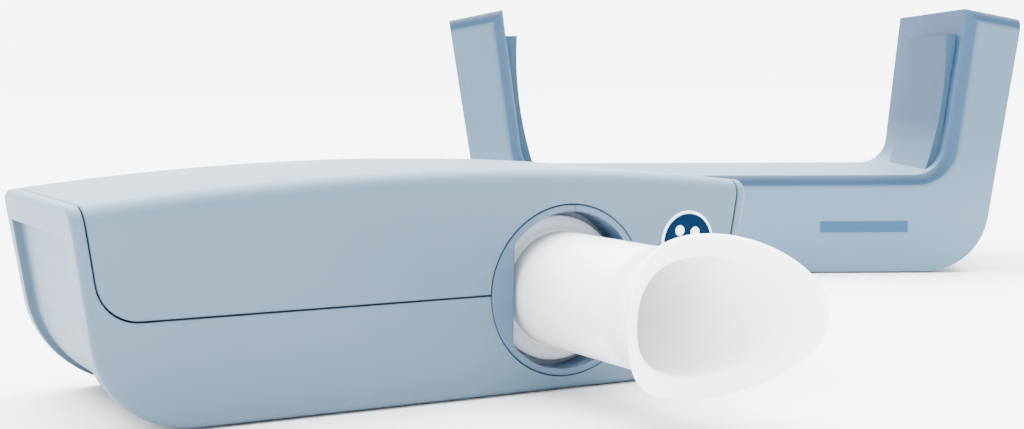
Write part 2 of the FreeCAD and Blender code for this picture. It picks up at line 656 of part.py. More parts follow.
def make_screws():
    case_screws = at_posts(lambda number, x, y: screw(
        f"case_screw_{number}", "screw_radius", "screw_length", "screw_head", "screw_head_thick",
        x, y, f"{BASE} + screw_sink", False))
    keep("case_screws", group("case_screws", *case_screws))
    board_screws = at_board_screws(lambda number, x, y: screw(
        f"board_screw_{number}", "small_screw", "board_height - wall + board_thick - 1", "small_head",
        "small_head_thick", x, y, BOARD_TOP, True))
    keep("board_screws", group("board_screws", *board_screws))


CHIP_SIZE = ("14", "14", "1.5")
SHIELD_SIZE = ("22", "17", "3.6")
HEADER_SIZE = ("7", "5", "5")
CAPACITOR_RADIUS = "2.5"
CAPACITOR_HEIGHT = "5.5"


def make_electronics():
    """Circuit board with its parts, and the data socket in the back wall."""
    board = centred_box("board_blank", ("board_length", "board_width", "board_thick"),
                        ("board_x", "0", f"{BASE} + board_height"))
    holes = at_board_screws(lambda number, x, y: rod(
        f"board_hole_{number}", "small_screw + fit_gap", "2 * board_height", (x, y, FLOOR_TOP)))
    keep("main_board", cut("main_board", board, *holes))
    keep("processor_chip", centred_box("processor_chip", CHIP_SIZE, (f"{BOARD_RIGHT} - 34", "3", BOARD_TOP)))
    keep("shield_can", centred_box("shield_can", SHIELD_SIZE, (f"{BOARD_LEFT} + 18.5", "-13.5", BOARD_TOP)))
    capacitors = []
    for number in range(3):
        capacitors.append(rod(f"capacitor_{number + 1}", CAPACITOR_RADIUS, CAPACITOR_HEIGHT,
                              (f"{BOARD_RIGHT} - 34 + {7 * number}", "14", BOARD_TOP)))
    keep("capacitors", group("capacitors", *capacitors))
    for side in ("left", "right"):
        x, y = HEADER_PLACE[side]
        keep(f"lead_header_{side}", centred_box(f"lead_header_{side}", HEADER_SIZE, (x, y, BOARD_TOP)))
    back_face = f"(case_depth / 2 + {BOARD_TOP} * draft_slope - fit_gap)"
    shell = box("socket_shell", ("socket_width", "socket_length", "socket_height"),
                ("socket_x - socket_width / 2", f"{back_face} - socket_length", BOARD_TOP))
    room = box("socket_room", ("socket_width - 2 * socket_wall", "socket_length", "socket_height - 2 * socket_wall"),
               ("socket_x - socket_width / 2 + socket_wall", f"{back_face} - socket_length + 4 * socket_wall",
                f"{BOARD_TOP} + socket_wall"))
    tongue = box("socket_tongue", ("socket_width - 4 * socket_wall", "socket_length - 2 * socket_wall", "socket_wall"),
                 ("socket_x - socket_width / 2 + 2 * socket_wall", f"{back_face} - socket_length + socket_wall",
                  f"{BOARD_TOP} + socket_height - 4 * socket_wall"))
    keep("data_socket", fuse("data_socket", cut("socket_cup", shell, room), tongue))


HEADER_PLACE = {
    "left": (f"({BOARD_RIGHT} - 24)", "-16"),
    "right": (f"({BOARD_RIGHT} - 7)", "6"),
}


def rounded_path(points, bend):
    """Straight runs through points, joined by tangent arcs of one radius."""
    edges = []
    start = points[0]
    for number in range(1, len(points) - 1):
        corner = points[number]
        before = (points[number - 1] - corner).normalize()
        after = (points[number + 1] - corner).normalize()
        half_turn = math.acos(max(-1.0, min(1.0, before.dot(after)))) / 2
        back = bend / math.tan(half_turn)
        first = corner + before * back
        last = corner + after * back
        middle_way = (before + after).normalize()
        crown = corner + middle_way * (bend / math.sin(half_turn) - bend)
        edges.append(Part.LineSegment(start, first).toShape())
        edges.append(Part.Arc(first, crown, last).toShape())
        start = last
    edges.append(Part.LineSegment(start, points[-1]).toShape())
    return Part.Wire(edges)


def make_leads():
    """A lead from each transducer, through its cap and over to its header on the board."""
    bend = 3.0 * value_of("lead_radius")
    axis = Vector(value_of("tube_x"), 0, value_of(TUBE_Z))
    header_top = value_of(BOARD_TOP) + float(HEADER_SIZE[2])
    board_end = value_of("board_x + board_length / 2")
    for side, turn in SIDES:
        heading = math.radians(value_of("port_angle") + turn)
        way = Vector(math.cos(heading), math.sin(heading), 0)
        header = Vector(value_of(HEADER_PLACE[side][0]), value_of(HEADER_PLACE[side][1]), header_top)
        leaving = axis + way * (value_of("port_reach + cap_plate") + 0.6 * bend)
        points = [axis + way * value_of("port_reach"), leaving]
        if side == "right":
            under_cap = value_of(f"{TUBE_Z} - cap_radius") - 1.6 * bend
            under_barrel = value_of(f"{TUBE_Z} - {BARREL_RADIUS} - 2 * lead_radius")
            riser = board_end + bend
            points.append(Vector(leaving.x, leaving.y, under_cap))
            points.append(Vector(leaving.x - 5 * bend, header.y, under_barrel))
            points.append(Vector(riser, header.y, under_barrel))
            points.append(Vector(riser, header.y, header_top + 2 * bend))
            points.append(Vector(header.x, header.y, header_top + 2 * bend))
        else:
            points.append(Vector(header.x, header.y, header_top + 3 * bend))
        points.append(header)
        path = rounded_path(points, bend)
        profile = Part.Wire([Part.makeCircle(value_of("lead_radius"), points[0], way)])
        lead = doc.addObject("Part::Feature", f"transducer_lead_{side}")
        lead.Shape = path.makePipeShell([profile], True, True)
        keep(f"transducer_lead_{side}", lead)


def oval(steps, half_width, half_height, rise, power=2.15):
    """Points round a squarish oval that stands a little above the tube axis."""
    points = []
    for step in range(steps):
        turn = 2 * math.pi * (step + 0.5) / steps
        across, upward = math.cos(turn), math.sin(turn)
        points.append((half_width * math.copysign(abs(across) ** (2 / power), across),
                       half_height * math.copysign(abs(upward) ** (2 / power), upward) + rise))
    return points


def flare(name, rim, tube_round, start, curve=1.6):
    """A trumpet that leaves the round tube at start and meets the saddle in the given rim."""
    reach = value_of("mouth_reach")
    saddle = value_of("mouth_saddle")
    middle = Vector(value_of("tube_x"), 0, value_of(TUBE_Z))
    wires = []
    for share in (0.0, 0.12, 0.3, 0.5, 0.7, 0.85, 1.0):
        station = start + (reach + saddle / 2 - start) * share
        points = []
        for x, z in rim:
            depth = reach + saddle - math.sqrt(saddle ** 2 - x ** 2)
            turn = math.atan2(z, x)
            growth = ((station - start) / (depth - start)) ** curve
            radius = tube_round + (math.hypot(x, z) - tube_round) * growth
            points.append(middle + Vector(radius * math.cos(turn), -station, radius * math.sin(turn)))
        ring = Part.BSplineCurve()
        ring.interpolate(points, PeriodicFlag=True)
        wires.append(Part.Wire([ring.toShape()]))
    item = doc.addObject("Part::Feature", name)
    item.Shape = Part.makeLoft(wires, True, False)
    return item


def make_tube():
    """The breathing tube: mouth, collar and the part that slides through the barrel."""
    inner = "(tube_radius - tube_wall)"
    tube_end = "(ring_end + 3 * barrel_flange)"
    straight = along_tube("tube_straight_outside", "tube_radius", "-tube_straight",
                          f"tube_straight + {tube_end}")
    rim = oval(40, value_of("mouth_half_width"), value_of("mouth_half_height"), value_of("mouth_rise"))
    trumpet = flare("mouth_outside", rim, value_of("tube_radius") + 0.05, value_of("tube_straight"))
    collar_back = "(ring_end + fit_gap)"
    disc = along_tube("collar_disc", "collar_radius", f"-({collar_back} + collar_thick)", "collar_thick")
    flats = centred_box("collar_flats", ("2 * collar_flat", "case_depth", "4 * collar_radius"),
                        ("tube_x", "-case_depth / 2", f"{TUBE_Z} - 2 * collar_radius"))
    collar = common("collar", disc, flats)
    neck = doc.addObject("Part::Cone", "collar_neck")
    bind(neck, "Radius1", "tube_radius")
    bind(neck, "Radius2", "tube_radius + collar_fillet")
    bind(neck, "Height", "collar_fillet")
    neck.Placement.Rotation = TURNS["y"]
    place(neck, ("tube_x", f"-({collar_back} + collar_thick + collar_fillet)", TUBE_Z))
    neck_flat = common("neck", neck, flats)
    outside = fuse("tube_outside", straight, trumpet, collar, neck_flat)
    way = along_tube("airway", inner, "-tube_straight", "2 * case_depth")
    lip = value_of("mouth_lip")
    opening = oval(40, value_of("mouth_half_width") - lip, value_of("mouth_half_height") - lip,
                   value_of("mouth_rise"))
    mouth = flare("mouth_inside", opening, value_of(inner) + 0.05, value_of("tube_straight"))
    saddle = rod("mouth_cut", "mouth_saddle", "2 * case_depth",
                 ("tube_x", "-(mouth_reach + mouth_saddle)", f"{TUBE_Z} - case_depth"))
    windows = [sound_rod(f"{side}_window", turn, "window_radius", "0", "port_reach") for side, turn in SIDES]
    keep("breathing_tube", cut("breathing_tube", outside, way, mouth, saddle, *windows))
    for side, turn in SIDES:
        patch = sound_rod(f"{side}_mesh_blank", turn, "window_radius", "0", "port_reach")
        wall_ring = cut(f"{side}_mesh_ring",
                        along_tube(f"{side}_mesh_outside", "tube_radius - tube_wall / 2 + mesh_thick / 2",
                                   "-case_depth / 2", "case_depth"),
                        along_tube(f"{side}_mesh_inside", "tube_radius - tube_wall / 2 - mesh_thick / 2",
                                   "-case_depth / 2", "case_depth"))
        keep(f"window_mesh_{side}", common(f"window_mesh_{side}", wall_ring, patch))


def make_pad_and_sign():
    """The handset's rubber pad, and the round sign on the front of its cover."""
    body = new_body("antislip_pad")
    half_long = "(pad_length / 2)"
    half_wide = "(pad_width / 2)"
    corners = [("-" + half_long, "-" + half_wide), (half_long, "-" + half_wide),
               (half_long, half_wide), ("-" + half_long, half_wide)]
    sketch = outline(new_sketch(body, "pad_outline", "top"), corners)
    sheet = pad(body, "pad_sheet", sketch, "pad_thick", both_ways=False)
    round_edges(body, "pad_corners", sheet, "pad_round", lambda edge: lies_along(edge, Vector(0, 0, 1)))
    keep("antislip_pad", body)
    slant = math.degrees(math.atan(value_of("draft_slope")))
    for name, radius, level in (("sign_backing", "label_radius", "0"),
                                ("sign_disc", "label_radius - label_rim", "1.01 * label_thick")):
        disc = doc.addObject("Part::Cylinder", name)
        bind(disc, "Radius", radius)
        bind(disc, "Height", "label_thick")
        disc.Placement.Rotation = Rotation(Vector(1, 0, 0), 90 + slant)
        place(disc, ("label_x", f"-(case_depth / 2 + label_height * draft_slope + {level})",
                     f"{BASE} + label_height"))
        keep(name, disc)


def cradle_outline(points_inset, top_inset):
    """The U of the cradle seen from the front, set in from its outer and inner sides."""
    inset = f"({points_inset})"

    def outer_x(height):
        return f"(cradle_width / 2 - (cradle_height - ({height})) * cradle_outer_slope - {inset})"

    def inner_x(height):
        return (f"(cradle_width / 2 - arm_width - (cradle_height - ({height})) * cradle_inner_slope"
                f" + {inset})")

    low = inset
    bar = f"(bar_height - {inset})"
    top_out = f"(cradle_height - ({top_inset}))"
    top_in = f"(cradle_height + arm_top_rise - ({top_inset}))"
    right = [(outer_x(low), f"{BASE} + {low}"), (outer_x(top_out), f"{BASE} + {top_out}"),
             (inner_x(top_in), f"{BASE} + {top_in}"), (inner_x(bar), f"{BASE} + {bar}")]
    left = [("-" + x, z) for x, z in reversed(right)]
    return right + left


def cradle_form(name, inset, start):
    """The cradle's U as a block from a distance behind its front, with its sloping back."""
    body = new_body(name)
    sketch = outline(new_sketch(body, name + "_front", "front"), cradle_outline(inset, inset))
    block = pad(body, name + "_pad", sketch, "4 * cradle_depth")
    front = [("-3 * cradle_depth", "-cradle_depth"), (start, "-cradle_depth"),
             (start, "3 * cradle_height"), ("-3 * cradle_depth", "3 * cradle_height")]
    last = pocket(body, name + "_front_cut", outline(new_sketch(body, name + "_fore", "side"), front),
                  "4 * cradle_width")
    return body, last


def cradle_back_cut(body, name, inset):
    """Cut a cradle block along its leaning back, less an inset."""
    back = f"(cradle_depth - ({inset}))"
    high = "(3 * cradle_height)"
    points = [(f"{back} - cradle_height * cradle_back_slope", f"{BASE} - cradle_height"),
              ("3 * cradle_depth", f"{BASE} - cradle_height"), ("3 * cradle_depth", f"{BASE} + {high}"),
              (f"{back} + {high} * cradle_back_slope", f"{BASE} + {high}")]
    sketch = outline(new_sketch(body, name, "side"), points)
    return pocket(body, name + "_cut", sketch, "4 * cradle_width")


def round_cradle_corners(body, name, base, outer_radius, inner_radius, inset):
    """The lower outer corners and the corners between bar and arms."""
    low = value_of(f"{BASE} + ({inset})")
    bar = value_of(f"{BASE} + bar_height - ({inset})")
    first = round_edges(body, name + "_outer_corners", base, outer_radius,
                        lambda edge: lies_along(edge, Y_AXIS) and abs(edge.CenterOfMass.z - low) < 0.01)
    return round_edges(body, name + "_inner_corners", first, inner_radius,
                       lambda edge: lies_along(edge, Y_AXIS) and abs(edge.CenterOfMass.z - bar) < 0.01)


def at_cradle_posts(make):
    made = []
    places = (("-cradle_post_x", "cradle_post_height"), ("cradle_post_x", "cradle_post_height"),
              ("-arm_post_x", "arm_post_height"), ("arm_post_x", "arm_post_height"))
    for number, (x, height) in enumerate(places, start=1):
        made.append(make(number, x, height))
    return made


def in_cradle_place(name, item):
    """Hand in a cradle piece, moved from the cradle's own frame to where the cradle stands."""
    item.Placement.Rotation = Rotation(Vector(0, 0, 1), value_of("cradle_turn"))
    place(item, ("cradle_x", "cradle_y", "0"))
    keep(name, item)


def make_cradle():
    """The cradle: a U-shaped shell, its back cover, screws, pads and a plain badge."""
    block, last = cradle_form("cradle_block", "0", "0")
    last = cradle_back_cut(block, "cradle_back", "0")
    last = round_cradle_corners(block, "cradle_block", last, "cradle_corner", "cradle_inner_corner", "0")
    bar_top = value_of(f"{BASE} + bar_height")

    def front_inner(edge):
        middle = edge.CenterOfMass
        if abs(middle.y) > 0.01 or middle.z < bar_top - 0.01:
            return False
        if edge.Curve.TypeId == "Part::GeomCircle":
            return True
        outer_x = value_of("cradle_width / 2 - cradle_height * cradle_outer_slope / 2")
        leaning = (abs(middle.z - value_of("cradle_height / 2")) < value_of("cradle_height / 7")
                   and abs(abs(middle.x) - outer_x) < value_of("arm_width / 2.5"))
        return not leaning

    last = round_edges(block, "cradle_front_edges", last, "cradle_edge", front_inner)

    room, last = cradle_form("cradle_room", "cradle_wall", "cradle_wall")
    round_cradle_corners(room, "cradle_room", last, "cradle_corner - cradle_wall",
                         "cradle_inner_corner + cradle_wall", "cradle_wall")
    plate, last = cradle_form("cradle_plate", "cradle_wall + fit_gap", "cradle_depth / 2")
    last = cradle_back_cut(plate, "plate_back", "0")
    round_cradle_corners(plate, "cradle_plate", last, "cradle_corner - cradle_wall",
                         "cradle_inner_corner + cradle_wall", "cradle_wall + fit_gap")
    inner, last = cradle_form("plate_inside", "0", "0")
    last = cradle_back_cut(inner, "plate_inside_back", "cradle_wall")
    round_edges(inner, "plate_inside_corners", last, "cradle_inner_corner",
                lambda edge: lies_along(edge, Y_AXIS) and abs(edge.CenterOfMass.z - bar_top) < 0.01)

    posts = at_cradle_posts(lambda number, x, height: rod(
        f"cradle_post_{number}", "cradle_post", "2 * cradle_depth",
        (x, "cradle_wall / 2", f"{BASE} + {height}"), "y"))
    post_room, last = cradle_form("post_room", "0", "0")
    cradle_back_cut(post_room, "post_room_back", "cradle_wall + fit_gap")
    posts_inside = common("cradle_posts", group("cradle_post_rods", *posts), post_room)

    ribs = []
    for side, sign in (("left", "-"), ("right", "")):
        body = new_body(f"{side}_guide")

        def inner_x(height, inset):
            return (f"(cradle_width / 2 - arm_width - (cradle_height - ({height})) * cradle_inner_slope"
                    f" - ({inset}))")

        low = "(bar_height - cradle_wall / 2)"
        points = [(sign + inner_x(low, "-cradle_wall / 2"), f"{BASE} + {low}"),
                  (sign + inner_x("guide_top", "-cradle_wall / 2"), f"{BASE} + guide_top"),
                  (sign + inner_x("guide_top", "1.2 * guide_depth"), f"{BASE} + guide_top"),
                  (sign + inner_x(low, "3 * guide_depth"), f"{BASE} + {low}")]
        sketch = outline(new_sketch(body, f"{side}_guide_front", "front"), points)
        bind(sketch, "AttachmentOffset.Base.z", "-(guide_front + guide_length / 2)")
        pad(body, f"{side}_guide_pad", sketch, "guide_length")
        curve = rod(f"{side}_guide_curve", "guide_curve", "2 * cradle_depth",
                    (f"{sign}({inner_x('guide_top', 'guide_depth')} - guide_curve)", "-cradle_depth / 2",
                     f"{BASE} + guide_bend"), "y")
        ribs.append(cut(f"{side}_guide_rib", body, curve))

    shell = cut("cradle_shell", block, room)
    joined = fuse("cradle_joined", shell, posts_inside, *ribs)
    threads = at_cradle_posts(lambda number, x, height: rod(
        f"cradle_thread_{number}", "screw_radius", "4 * cradle_wall",
        (x, f"cradle_depth + ({height}) * cradle_back_slope - 5 * cradle_wall", f"{BASE} + {height}"), "y"))
    pad_rows = (("front", "cradle_pad_inset"),
                ("rear", "cradle_depth - cradle_pad_inset - cradle_pad_width"))
    seats = []
    for word, y in pad_rows:
        seats.append(box(f"{word}_pad_seat", ("cradle_pad_length", "cradle_pad_width", "pad_thick"),
                         ("-cradle_pad_length / 2", y, "0")))
    in_cradle_place("cradle_frame", cut("cradle_frame", joined, *(threads + seats)))

    holes = at_cradle_posts(lambda number, x, height: rod(
        f"plate_hole_{number}", "screw_radius + fit_gap", "2 * cradle_depth",
        (x, "0", f"{BASE} + {height}"), "y"))
    in_cradle_place("cradle_back_cover", cut("cradle_back_cover", plate, inner, *holes))

    screws = []
    for number, (x, height) in enumerate((("-cradle_post_x", "cradle_post_height"),
                                          ("cradle_post_x", "cradle_post_height"),
                                          ("-arm_post_x", "arm_post_height"),
                                          ("arm_post_x", "arm_post_height")), start=1):
        seat = f"(cradle_depth + ({height} + screw_head) * cradle_back_slope)"
        grip = "(3 * cradle_wall + screw_head * cradle_back_slope)"
        shank = rod(f"cradle_shank_{number}", "screw_radius", grip,
                    (x, f"{seat} - {grip}", f"{BASE} + {height}"), "y")
        head = rod(f"cradle_head_{number}", "screw_head", "screw_head_thick",
                   (x, seat, f"{BASE} + {height}"), "y")
        screws.append(fuse(f"cradle_screw_{number}", shank, head))
    in_cradle_place("cradle_screws", group("cradle_screws", *screws))

    pads = []
    for word, y in pad_rows:
        pads.append(box(f"cradle_pad_{word}", ("cradle_pad_length", "cradle_pad_width", "pad_thick"),
                        ("-cradle_pad_length / 2", y, "0")))
    in_cradle_place("cradle_pads", group("cradle_pads", *pads))
    badge = box("cradle_badge", ("badge_length", "badge_thick", "badge_width"),
                ("badge_x - badge_length / 2", "-badge_thick", f"{BASE} + badge_height - badge_width / 2"))
    in_cradle_place("cradle_badge", group("cradle_badge_plate", badge))


make_bottom_shell()
make_top_cover()
make_front_ring()
make_rear_ring()
make_barrel()
make_tube_seals()
make_transducers()
make_screws()
make_electronics()
make_leads()
make_tube()
make_pad_and_sign()
make_cradle()
doc.recompute()

for item in doc.Objects:
    if "Invalid" in item.State or "Error" in item.State:
        raise RuntimeError(f"{item.Label} failed: {item.State}")
for name, item in nodes.items():
    if item.Shape.isNull() or not item.Shape.isValid() or not item.Shape.Solids:
        raise RuntimeError(f"{name} has no valid solid")

os.makedirs("parts", exist_ok=True)
for name, item in nodes.items():
    item.Shape.exportStep(f"parts/{name}.step")
    extent = item.Shape.BoundBox
    print(f"{name}: {len(item.Shape.Solids)} solids, {item.Shape.Volume:.0f} mm3, "
          f"{extent.XMin:.1f}..{extent.XMax:.1f} {extent.YMin:.1f}..{extent.YMax:.1f} "
          f"{extent.ZMin:.1f}..{extent.ZMax:.1f}")
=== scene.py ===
import json
import math

import bmesh
import bpy
from mathutils import Matrix, Vector


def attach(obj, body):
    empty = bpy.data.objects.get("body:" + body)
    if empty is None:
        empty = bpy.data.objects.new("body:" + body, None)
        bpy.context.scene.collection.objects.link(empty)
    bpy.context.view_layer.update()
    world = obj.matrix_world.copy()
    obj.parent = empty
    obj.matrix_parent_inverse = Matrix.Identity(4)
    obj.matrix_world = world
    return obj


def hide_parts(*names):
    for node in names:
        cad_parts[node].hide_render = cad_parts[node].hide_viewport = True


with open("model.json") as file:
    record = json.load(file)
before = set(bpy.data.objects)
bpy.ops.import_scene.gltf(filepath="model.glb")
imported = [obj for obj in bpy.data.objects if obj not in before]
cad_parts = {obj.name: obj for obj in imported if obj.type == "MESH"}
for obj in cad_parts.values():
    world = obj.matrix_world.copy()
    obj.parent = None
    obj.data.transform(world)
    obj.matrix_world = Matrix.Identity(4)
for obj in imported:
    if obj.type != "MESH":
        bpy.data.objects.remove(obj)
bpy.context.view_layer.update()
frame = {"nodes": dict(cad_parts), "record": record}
nodes = frame["nodes"]

# Camera, as the photograph was taken: 1024 x 429 pixels, a normal lens from the front left.
PICTURE_WIDTH = 1024
FOCAL_PIXELS = 1600.96
SENSOR_MM = 36.0
CAMERA_PLACE = Vector((-0.17233, -0.38842, 0.08127))
CAMERA_YAW = math.radians(28.458)
CAMERA_PITCH = math.radians(4.924)
CAMERA_ROLL = math.radians(0.172)
NEAREST_SEEN = 0.01
FARTHEST_SEEN = 50


def make_camera():
    """The camera at the photograph's place and angle."""
    forward = Vector((math.sin(CAMERA_YAW) * math.cos(CAMERA_PITCH),
                      math.cos(CAMERA_YAW) * math.cos(CAMERA_PITCH),
                      -math.sin(CAMERA_PITCH)))
    level = Vector((math.cos(CAMERA_YAW), -math.sin(CAMERA_YAW), 0))
    down = forward.cross(level)
    right = level * math.cos(CAMERA_ROLL) + down * math.sin(CAMERA_ROLL)
    up = level * math.sin(CAMERA_ROLL) - down * math.cos(CAMERA_ROLL)
    data = bpy.data.cameras.new("camera")
    data.sensor_width = SENSOR_MM
    data.lens = FOCAL_PIXELS / PICTURE_WIDTH * SENSOR_MM
    data.clip_start = NEAREST_SEEN
    data.clip_end = FARTHEST_SEEN
    camera = bpy.data.objects.new("camera", data)
    bpy.context.scene.collection.objects.link(camera)
    turn = Matrix((right, up, -forward)).transposed().to_4x4()
    camera.matrix_world = Matrix.Translation(CAMERA_PLACE) @ turn
    bpy.context.scene.camera = camera


# Materials


def to_linear(level):
    level = level / 255.0
    return level / 12.92 if level <= 0.04045 else ((level + 0.055) / 1.055) ** 2.4


def colour(red, green, blue):
    """A colour as seen on a screen, 0 to 255, made linear."""
    return (to_linear(red), to_linear(green), to_linear(blue), 1.0)


def tint(base, share):
    """A colour made darker or lighter."""
    return tuple(min(1.0, part * share) for part in base[:3]) + (1.0,)


class Recipe:
    """A new material and shorthand for wiring its shader."""

    def __init__(self, name):
        self.material = bpy.data.materials.new(name)
        self.material.use_nodes = True
        self.tree = self.material.node_tree
        self.shader = self.tree.nodes["Principled BSDF"]

    def add(self, kind, **values):
        node = self.tree.nodes.new(kind)
        for key, value in values.items():
            setattr(node, key, value)
        return node

    def link(self, source, target):
        self.tree.links.new(source, target)

    def set(self, **values):
        """Numbers and colours that are the same all over the surface."""
        for key, value in values.items():
            self.shader.inputs[key.replace("_", " ")].default_value = value

    def place(self):
        """Where a point is on the piece, so that a pattern rides with it."""
        return self.add("ShaderNodeTexCoord").outputs["Object"]

    def along(self, source, direction):
        """How far a place lies, or how much a normal points, along a direction."""
        node = self.add("ShaderNodeVectorMath", operation="DOT_PRODUCT")
        node.inputs[1].default_value = direction
        self.link(source, node.inputs[0])
        return node.outputs["Value"]

    def combine(self, operation, first, second):
        """Arithmetic on the outcome of one node with a number or another node's outcome."""
        node = self.add("ShaderNodeMath", operation=operation)
        self.link(first, node.inputs[0])
        if isinstance(second, float):
            node.inputs[1].default_value = second
        else:
            self.link(second, node.inputs[1])
        return node.outputs["Value"]

    def noise(self, scale, detail):
        node = self.add("ShaderNodeTexNoise")
        node.inputs["Scale"].default_value = scale
        node.inputs["Detail"].default_value = detail
        self.link(self.place(), node.inputs["Vector"])
        return node.outputs["Fac"]

    def spread(self, source, low, high, start=0.35, stop=0.65):
        """Map start to stop, by default a noise's usual range, onto low to high."""
        node = self.add("ShaderNodeMapRange")
        node.inputs["From Min"].default_value = start
        node.inputs["From Max"].default_value = stop
        node.inputs["To Min"].default_value = low
        node.inputs["To Max"].default_value = high
        self.link(source, node.inputs["Value"])
        return node.outputs["Result"]

    def blend(self, factor, first, second):
        """Mix two colours, each of them fixed or the outcome of other nodes."""
        node = self.add("ShaderNodeMix", data_type="RGBA")
        for socket, shade in (("A", first), ("B", second)):
            if isinstance(shade, tuple):
                node.inputs[socket].default_value = shade
            else:
                self.link(shade, node.inputs[socket])
        self.link(factor, node.inputs["Factor"])
        return node.outputs["Result"]

    def bump(self, height, strength, distance, soft_edge=0.0):
        node = self.add("ShaderNodeBump")
        if soft_edge:
            edge = self.add("ShaderNodeBevel", samples=8)
            edge.inputs["Radius"].default_value = soft_edge
            self.link(edge.outputs["Normal"], node.inputs["Normal"])
        node.inputs["Strength"].default_value = strength
        node.inputs["Distance"].default_value = distance
        self.link(height, node.inputs["Height"])
        self.link(node.outputs["Normal"], self.shader.inputs["Normal"])


GRAIN_SCALE = 2600
GRAIN_DEPTH = 0.00004
GRAIN_STRENGTH = 0.5
DRIFT_SCALE = 18


def plastic(name, base, roughness, grain=GRAIN_DEPTH, grain_scale=GRAIN_SCALE, drift=0.03, metal=0.0,
            gloss=0.5, soft_edge=0.0):
    """Moulded plastic or plain metal: a fine grain, a faint drift in tone and gloss, and soft edges."""
    recipe = Recipe(name)
    recipe.set(Specular_IOR_Level=gloss, Metallic=metal)
    slow = recipe.spread(recipe.noise(DRIFT_SCALE, 4), 0, 1)
    recipe.link(recipe.blend(slow, tint(base, 1 - drift), tint(base, 1 + drift)),
                recipe.shader.inputs["Base Color"])
    fine = recipe.noise(grain_scale, 2)
    recipe.link(recipe.spread(fine, roughness * 0.93, roughness * 1.07), recipe.shader.inputs["Roughness"])
    recipe.bump(fine, GRAIN_STRENGTH, grain, soft_edge)
    return recipe.material


TUBE_WHITE = colour(252, 252, 252)
TUBE_WHITE_FAINT = colour(243, 245, 247)
# Painted shade: a grey put into the tube's colour where its surface lies in a nook.
NOOK_PAINTED_SHADE = colour(176, 184, 191)
PAINTED_SHADE_REACH = 0.012


def tube_finish():
    """White polypropylene that lets light through a little, with faint flow marks and painted shade in its
    nooks.
    """
    recipe = Recipe("tube_white")
    recipe.set(Subsurface_Weight=0.5, Subsurface_Radius=(1.0, 1.0, 1.0), Subsurface_Scale=0.006)
    flow = recipe.noise(22, 5)
    white = recipe.blend(recipe.spread(flow, 0, 1), TUBE_WHITE_FAINT, TUBE_WHITE)
    # Painted shade: ambient occlusion turns the white grey in nooks, such as round the collar.
    nook = recipe.add("ShaderNodeAmbientOcclusion", samples=8)
    nook.inputs["Distance"].default_value = PAINTED_SHADE_REACH
    openness = recipe.spread(nook.outputs["AO"], 0, 1, 0.2, 0.75)
    recipe.link(recipe.blend(openness, NOOK_PAINTED_SHADE, white), recipe.shader.inputs["Base Color"])
    fine = recipe.noise(1800, 2)
    recipe.link(recipe.spread(fine, 0.2, 0.25), recipe.shader.inputs["Roughness"])
    recipe.bump(flow, 0.25, 0.0002)
    return recipe.material


# The cradle stands turned on the floor. Its front's middle is at CRADLE_X, CRADLE_Y.
CRADLE_TURN = math.radians(27.7)
CRADLE_X = 0.2206
CRADLE_Y = 0.1446
CRADLE_ACROSS = (math.cos(CRADLE_TURN), -math.sin(CRADLE_TURN), 0)
CRADLE_BACKWARDS = (math.sin(CRADLE_TURN), math.cos(CRADLE_TURN), 0)
CRADLE_MIDDLE = CRADLE_X * CRADLE_ACROSS[0] + CRADLE_Y * CRADLE_ACROSS[1]
CRADLE_FRONT = CRADLE_X * CRADLE_BACKWARDS[0] + CRADLE_Y * CRADLE_BACKWARDS[1]

CASE_BLUE = (0.077, 0.123, 0.170, 1.0)
# Painted shade for the rounded edges, darker for those that face up.
EDGE_PAINTED_SHADE = (0.030, 0.066, 0.118, 1.0)
EDGE_TOP_PAINTED_SHADE = (0.009, 0.032, 0.066, 1.0)
# The liner blue with painted shade, and a lighter copy of it with painted light for low down.
LINER_BLUE_PAINTED_SHADE = (0.006, 0.036, 0.080, 1.0)
LINER_BLUE_PAINTED_LIGHT = (0.075, 0.130, 0.190, 1.0)
# Painted shade for the fronts of the guide ribs.
RIB_PAINTED_SHADE = (0.040, 0.082, 0.135, 1.0)

# Where the cradle's colours change, from one to the other. Heights and depths are in metres. The others
# say how squarely a face looks up or to the front, from 0 to 1, and INNER_SIDE how squarely it looks to
# the cradle's middle, times its distance from there.
FACE_PAINTED_LIGHT_HEIGHT = (0.025, 0.06)
LINER_PAINTED_LIGHT_HEIGHT = (0.036, 0.062)
ARM_TOP_HEIGHT = (0.085, 0.095)
ARM_TOP_UPWARD = (0.4, 0.7)
INNER_SIDE = (0.03, 0.07)
RIB_DEPTH = (CRADLE_FRONT + 0.007, CRADLE_FRONT + 0.010)
RIB_FRONTWARD = (0.9, 0.98)
EDGE_UPWARD = (0.1, 0.6)
EDGE_STARTS = (0.02, 0.2)
EDGE_ENDS = (0.93, 0.9995)


